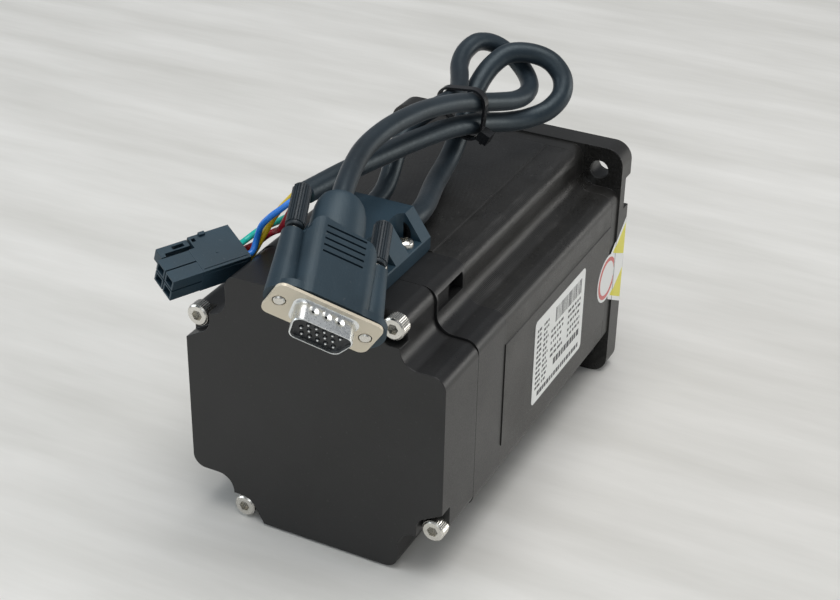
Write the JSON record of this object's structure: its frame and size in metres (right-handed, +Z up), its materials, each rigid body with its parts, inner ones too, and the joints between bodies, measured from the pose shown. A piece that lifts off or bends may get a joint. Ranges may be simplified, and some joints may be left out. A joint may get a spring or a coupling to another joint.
{
  "type": "closed-loop servo motor",
  "caption": "Square-flange closed-loop hybrid servo motor lying on its side, with keyed shaft, rear encoder, and tied encoder and power cables with their plugs.",
  "frame": {"origin": "middle of the footprint of the motor without its cables, on the plane it lies on: midway between the rear face and the shaft end", "axes": "+Y along the shaft from the rear cover to the shaft end, +X to the right seen from the rear, +Z up; the shaft axis is 43 mm above the origin plane"},
  "size_m": [0.0936, 0.2138, 0.1207],
  "materials": {
    "cover_paint": "satin black powder coat, fine orange peel",
    "bell_paint": "satin black paint on die-cast aluminium",
    "stator_paint": "black paint over the edges of stacked laminations",
    "flange_paint": "satin black paint on die-cast aluminium",
    "stainless": "bright stainless",
    "black_oxide": "black oxide",
    "ground_steel": "ground steel",
    "rotor_iron": "bare silicon steel",
    "copper_wire": "enamelled copper",
    "insulator": "moulded nylon",
    "magnet": "nickel plated",
    "board": "solder mask",
    "disc": "clear code disc",
    "black_plastic": "fine moulded texture",
    "hood_plastic": "satin moulded PVC",
    "knob_plastic": "ribbed moulding",
    "cable_jacket": "satin PVC jacket",
    "gland_rubber": "matt rubber",
    "tinned_shell": "tin plated",
    "pin_block": "moulded",
    "yellow_wire": "PVC insulation",
    "blue_wire": "PVC insulation",
    "red_wire": "PVC insulation",
    "teal_wire": "PVC insulation",
    "label_film": "printed polyester film",
    "tie_nylon": "nylon",
    "spring_steel": "spring steel"
  },
  "bodies": {
    "housing": {"rear_cover": "cover_paint", "rear_bell": "bell_paint", "stator_core": "stator_paint", "front_flange": "flange_paint", "rear_slot_insulator": "insulator", "front_slot_insulator": "insulator", "phase_a_winding": "copper_wire", "phase_b_winding": "copper_wire", "rear_bearing_outer": "ground_steel", "front_bearing_outer": "ground_steel", "wave_washer": "spring_steel", "shaft_seal": "gland_rubber", "encoder_board": "board", "encoder_reader": "pin_block", "board_connector": "insulator", "board_screw_1": "ground_steel", "board_screw_2": "ground_steel", "cable_outlet": "black_plastic", "encoder_gland": "gland_rubber", "power_gland": "gland_rubber", "encoder_cable": "cable_jacket", "power_cable": "cable_jacket", "yellow_lead": "yellow_wire", "blue_lead": "blue_wire", "red_lead": "red_wire", "teal_lead": "teal_wire", "cable_tie": "tie_nylon", "power_plug": "black_plastic", "dsub_shell": "tinned_shell", "dsub_insert": "pin_block", "dsub_hood": "hood_plastic", "rating_label": "label_film", "cover_screw_1": "stainless", "tie_bolt_1": "black_oxide", "outlet_screw_1": "stainless", "cover_screw_2": "stainless", "tie_bolt_2": "black_oxide", "outlet_screw_2": "stainless", "cover_screw_3": "stainless", "tie_bolt_3": "black_oxide", "outlet_screw_3": "stainless", "cover_screw_4": "stainless", "tie_bolt_4": "black_oxide", "outlet_screw_4": "stainless"},
    "rotor": {"shaft": "ground_steel", "shaft_key": "ground_steel", "rear_rotor_cup": "rotor_iron", "front_rotor_cup": "rotor_iron", "rotor_magnet": "magnet", "rear_bearing_inner": "ground_steel", "front_bearing_inner": "ground_steel", "encoder_hub": "ground_steel", "encoder_disc": "disc"},
    "rear_cage": {"rear_bearing_cage": "ground_steel"},
    "front_cage": {"front_bearing_cage": "ground_steel"},
    "left_screw": {"left_thumbscrew_shank": "stainless"},
    "left_knob": {"left_thumbscrew_knob": "knob_plastic"},
    "right_screw": {"right_thumbscrew_shank": "stainless"},
    "right_knob": {"right_thumbscrew_knob": "knob_plastic"},
    "latch": {"plug_latch": "black_plastic"}
  },
  "joints": [
    {"name": "shaft_spin", "type": "hinge", "parent": "housing", "child": "rotor", "pos_m": [0, 0, 0.043], "axis": [0, 1, 0], "continuous": true},
    {"name": "rear_cage_spin", "type": "hinge", "parent": "housing", "child": "rear_cage", "pos_m": [0, -0.0594, 0.043], "axis": [0, 1, 0], "continuous": true},
    {"name": "front_cage_spin", "type": "hinge", "parent": "housing", "child": "front_cage", "pos_m": [0, 0.0427, 0.043], "axis": [0, 1, 0], "continuous": true},
    {"name": "left_thumbscrew_slide", "type": "slide", "parent": "housing", "child": "left_screw", "axis": [0.3332, -0.8818, -0.3338], "range_m": [0, 0.0015]},
    {"name": "left_thumbscrew_turn", "type": "hinge", "parent": "left_screw", "child": "left_knob", "pos_m": [-0.00108, -0.09209, 0.11465], "axis": [-0.3332, 0.8818, 0.3338], "continuous": true},
    {"name": "right_thumbscrew_slide", "type": "slide", "parent": "housing", "child": "right_screw", "axis": [0.3332, -0.8818, -0.3338], "range_m": [0, 0.0015]},
    {"name": "right_thumbscrew_turn", "type": "hinge", "parent": "right_screw", "child": "right_knob", "pos_m": [0.01749, -0.08051, 0.10258], "axis": [-0.3332, 0.8818, 0.3338], "continuous": true},
    {"name": "plug_latch_bend", "type": "hinge", "parent": "housing", "child": "latch", "pos_m": [-0.04453, -0.08278, 0.08694], "axis": [-0.3392, 0.1589, -0.9272], "range_deg": [0, 6], "stiffness_Nm_per_rad": 0.05}
  ],
  "couplings": [
    {"joint": "rear_cage_spin", "follows": "shaft_spin", "ratio": 0.388},
    {"joint": "front_cage_spin", "follows": "shaft_spin", "ratio": 0.388}
  ]
}
